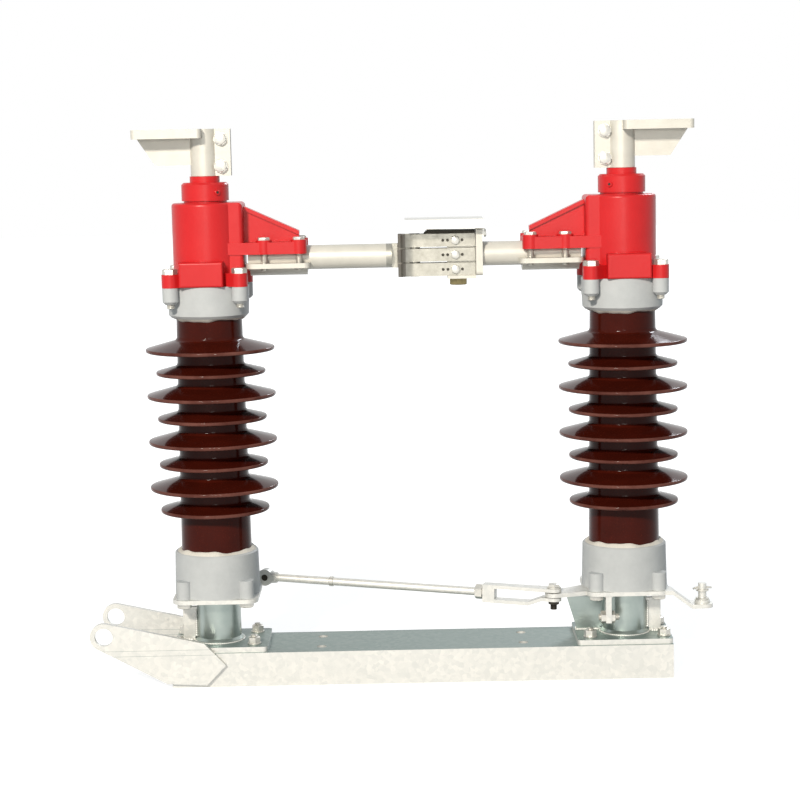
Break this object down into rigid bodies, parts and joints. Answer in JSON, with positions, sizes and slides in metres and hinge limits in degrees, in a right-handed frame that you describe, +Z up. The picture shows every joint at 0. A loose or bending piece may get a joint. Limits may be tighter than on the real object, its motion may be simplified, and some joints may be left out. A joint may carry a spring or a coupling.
{
  "type": "centre-break disconnector pole",
  "caption": "Outdoor disconnector pole: brown porcelain posts turn on a steel channel, with red heads, meeting arms, a covered finger contact, swivelling line terminals and a tie rod.",
  "frame": {"origin": "on the floor under the channel's flanges, midway between the two post axes", "axes": "+X along the channel from the left post to the right post, +Y away from the viewer, +Z up"},
  "size_m": [0.9055, 0.2146, 0.8063],
  "materials": {
    "galvanised_steel": "matte",
    "grey_painted_iron": "satin",
    "brown_porcelain": "gloss",
    "red_painted_casting": "gloss",
    "aluminium": "satin",
    "tinned_copper": "satin"
  },
  "bodies": {
    "base": {"base_channel": "galvanised_steel", "left_bearing_plate": "galvanised_steel", "right_bearing_plate": "galvanised_steel", "left_bearing_housing": "galvanised_steel", "right_bearing_housing": "galvanised_steel", "left_outer_stop": "galvanised_steel", "right_outer_stop": "galvanised_steel", "right_inner_stop": "galvanised_steel", "front_earth_bracket": "galvanised_steel", "rear_earth_bracket": "galvanised_steel"},
    "left_post": {"left_turntable": "galvanised_steel", "left_insulator_flange": "grey_painted_iron", "left_insulator": "brown_porcelain", "left_insulator_cap": "grey_painted_iron", "left_head_casting": "red_painted_casting", "left_arm_clamp": "aluminium", "left_arm": "aluminium", "male_contact": "tinned_copper"},
    "right_post": {"right_turntable": "galvanised_steel", "drive_pin": "galvanised_steel", "right_insulator_flange": "grey_painted_iron", "right_insulator": "brown_porcelain", "right_insulator_cap": "grey_painted_iron", "right_head_casting": "red_painted_casting", "right_arm_clamp": "aluminium", "right_arm": "aluminium", "contact_seat": "aluminium", "front_contact_fingers": "tinned_copper", "rear_contact_fingers": "tinned_copper", "rain_cover": "galvanised_steel"},
    "left_terminal": {"left_terminal_stem": "aluminium", "left_terminal": "aluminium"},
    "right_terminal": {"right_terminal_stem": "aluminium", "right_terminal": "aluminium"},
    "tie_rod": {"tie_rod": "galvanised_steel", "tie_rod_yoke": "galvanised_steel", "tie_rod_eye": "galvanised_steel"}
  },
  "joints": [
    {"name": "right_post_turn", "type": "hinge", "parent": "base", "child": "right_post", "pos_m": [0.3, 0, 0.1], "axis": [0, 0, 1], "range_deg": [0, 90]},
    {"name": "left_post_turn", "type": "hinge", "parent": "base", "child": "left_post", "pos_m": [-0.3, 0, 0.1], "axis": [0, 0, -1], "range_deg": [0, 90]},
    {"name": "tie_rod_travel", "type": "slide", "parent": "base", "child": "tie_rod", "axis": [0.9438, -0.3305, 0], "range_m": [0, 0.1698]},
    {"name": "left_terminal_swivel", "type": "hinge", "parent": "left_post", "child": "left_terminal", "pos_m": [-0.3, 0, 0.7], "axis": [0, 0, 1], "range_deg": [0, 90]},
    {"name": "right_terminal_swivel", "type": "hinge", "parent": "right_post", "child": "right_terminal", "pos_m": [0.3, 0, 0.7], "axis": [0, 0, -1], "range_deg": [0, 90]}
  ],
  "couplings": [
    {"joint": "left_post_turn", "follows": "right_post_turn", "ratio": 1},
    {"joint": "tie_rod_travel", "follows": "right_post_turn", "m_per_rad": 0.10804}
  ]
}
